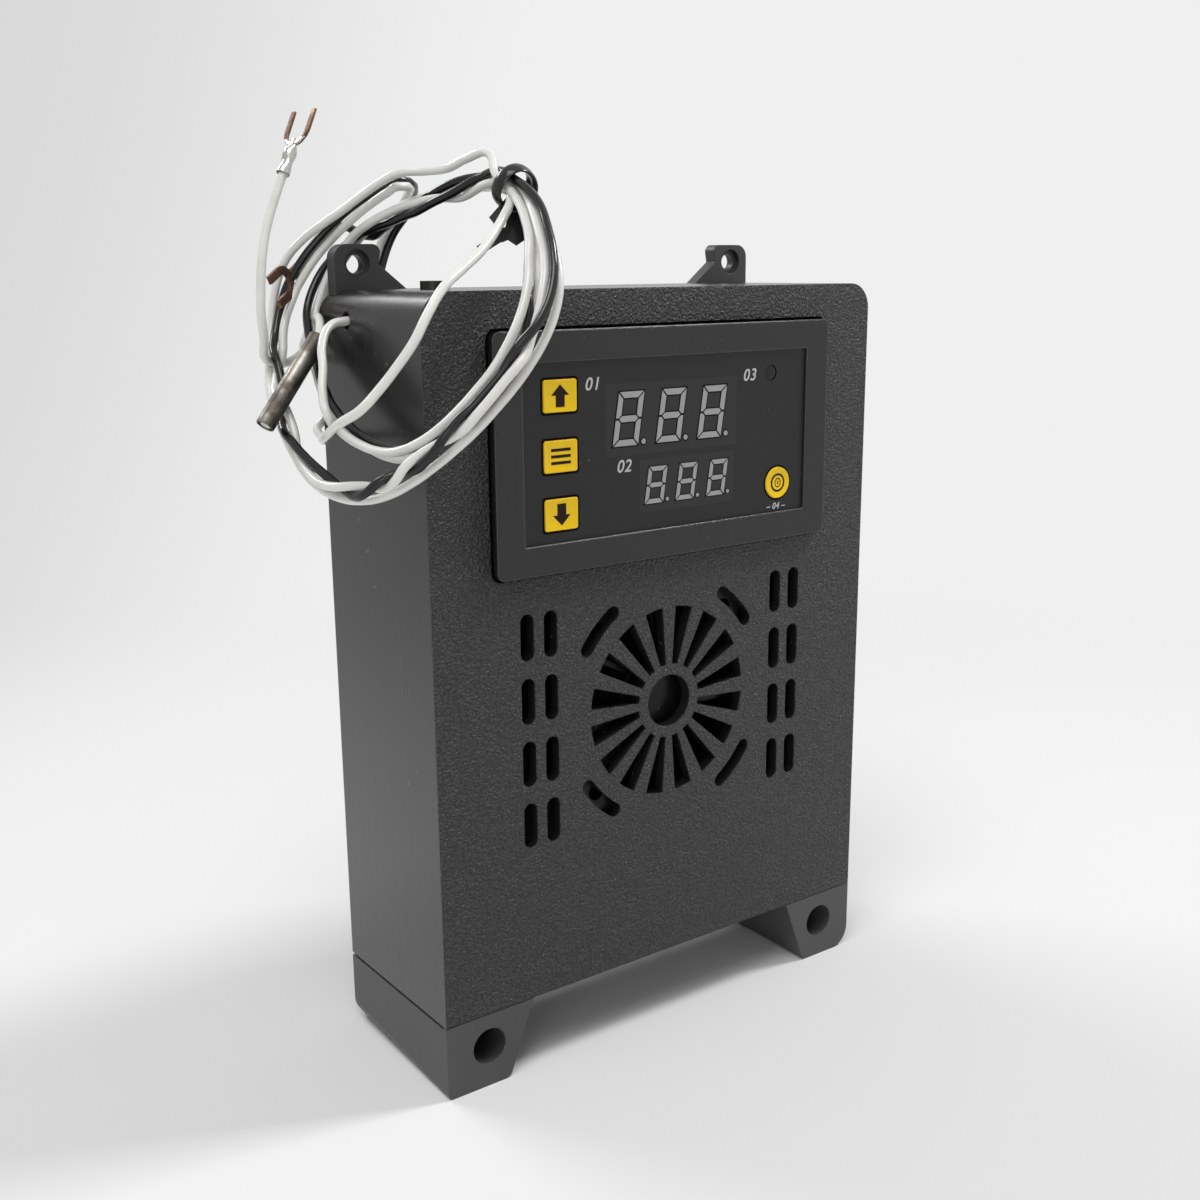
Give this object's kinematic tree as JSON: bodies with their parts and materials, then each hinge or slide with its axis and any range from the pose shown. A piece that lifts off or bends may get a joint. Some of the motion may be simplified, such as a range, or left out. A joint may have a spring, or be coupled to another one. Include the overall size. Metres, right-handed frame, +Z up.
{
  "type": "thermostat fan heater",
  "caption": "Small wall-mounted fan heater: black case with a plug-in thermostat module, round fan grille, side slots, mounting ears and feet, and tied free leads.",
  "frame": {"origin": "middle of the case's width and depth, level with the soles of the feet", "axes": "+X to the right seen from the front, +Y to the back, +Z up"},
  "size_m": [0.1219, 0.0659, 0.1784],
  "materials": {
    "case_plastic": "spark-textured front, satin sides",
    "back_plastic": "satin",
    "foot_plastic": "satin",
    "bezel_plastic": "satin",
    "window_foil": "matte",
    "module_plastic": "satin",
    "key_plastic": "satin",
    "display_plastic": "matte",
    "lamp_plastic": "smoked",
    "board_laminate": "solder mask",
    "relay_plastic": "smooth",
    "terminal_plastic": "moulded",
    "switch_metal": "stamped",
    "zinc_steel": "zinc plated",
    "black_steel": "black oxide",
    "fan_plastic": "moulded",
    "winding": "varnished copper wire",
    "bronze": "sintered",
    "shaft_steel": "ground",
    "heater_plastic": "heat-proof moulding",
    "core_aluminium": "bare fins",
    "tab_brass": "stamped",
    "cutoff_metal": "drawn cap",
    "white_insulation": "glossy",
    "black_insulation": "glossy",
    "bundle_insulation": "mixed black and white leads",
    "tie_plastic": "glossy band",
    "probe_steel": "drawn tube",
    "tinned_copper": "tinned, brown at the edges",
    "bare_copper": "dull copper"
  },
  "bodies": {
    "case": {"front_shell": "case_plastic", "rear_plate": "back_plastic", "foot_cover": "foot_plastic", "plate_screws": "zinc_steel", "foot_cover_screws": "zinc_steel", "top_screw": "black_steel", "lead_clamp": "module_plastic", "controller_bezel": "bezel_plastic", "controller_window": "window_foil", "controller_case": "module_plastic", "controller_clips": "module_plastic", "controller_board": "board_laminate", "display_main": "display_plastic", "display_set": "display_plastic", "out_lamp": "lamp_plastic", "controller_relay": "relay_plastic", "terminal_block": "terminal_plastic", "key_switches": "switch_metal", "fan_frame": "fan_plastic", "fan_stator": "winding", "fan_bush": "bronze", "fan_screws": "zinc_steel", "heater_frame": "heater_plastic", "heater_core": "core_aluminium", "heater_tabs": "tab_brass", "thermal_cutoff": "cutoff_metal", "inner_wiring": "white_insulation", "lead_coil": "bundle_insulation", "coil_tie": "tie_plastic", "sensor_lead_start": "white_insulation", "sensor_lead_tail": "white_insulation", "sensor_probe": "probe_steel", "white_lead_start": "white_insulation", "white_lead_tail": "white_insulation", "fork_white": "tinned_copper", "black_lead_start": "black_insulation", "black_lead_tail": "black_insulation", "fork_black": "bare_copper"},
    "rotor": {"fan_rotor": "fan_plastic", "fan_shaft": "shaft_steel"},
    "key_up": {"key_up": "key_plastic"},
    "key_set": {"key_set": "key_plastic"},
    "key_down": {"key_down": "key_plastic"},
    "key_restart": {"key_restart": "key_plastic"}
  },
  "joints": [
    {"name": "fan_spin", "type": "hinge", "parent": "case", "child": "rotor", "pos_m": [0, -0.0142, 0.0679], "axis": [0, 1, 0], "continuous": true},
    {"name": "key_up_press", "type": "slide", "parent": "case", "child": "key_up", "axis": [0, 1, 0], "range_m": [0, 0.0004], "stiffness_N_per_m": 400, "springref_m": -0.0008},
    {"name": "key_set_press", "type": "slide", "parent": "case", "child": "key_set", "axis": [0, 1, 0], "range_m": [0, 0.0004], "stiffness_N_per_m": 400, "springref_m": -0.0008},
    {"name": "key_down_press", "type": "slide", "parent": "case", "child": "key_down", "axis": [0, 1, 0], "range_m": [0, 0.0004], "stiffness_N_per_m": 400, "springref_m": -0.0008},
    {"name": "key_restart_press", "type": "slide", "parent": "case", "child": "key_restart", "axis": [0, 1, 0], "range_m": [0, 0.0004], "stiffness_N_per_m": 400, "springref_m": -0.0008}
  ]
}
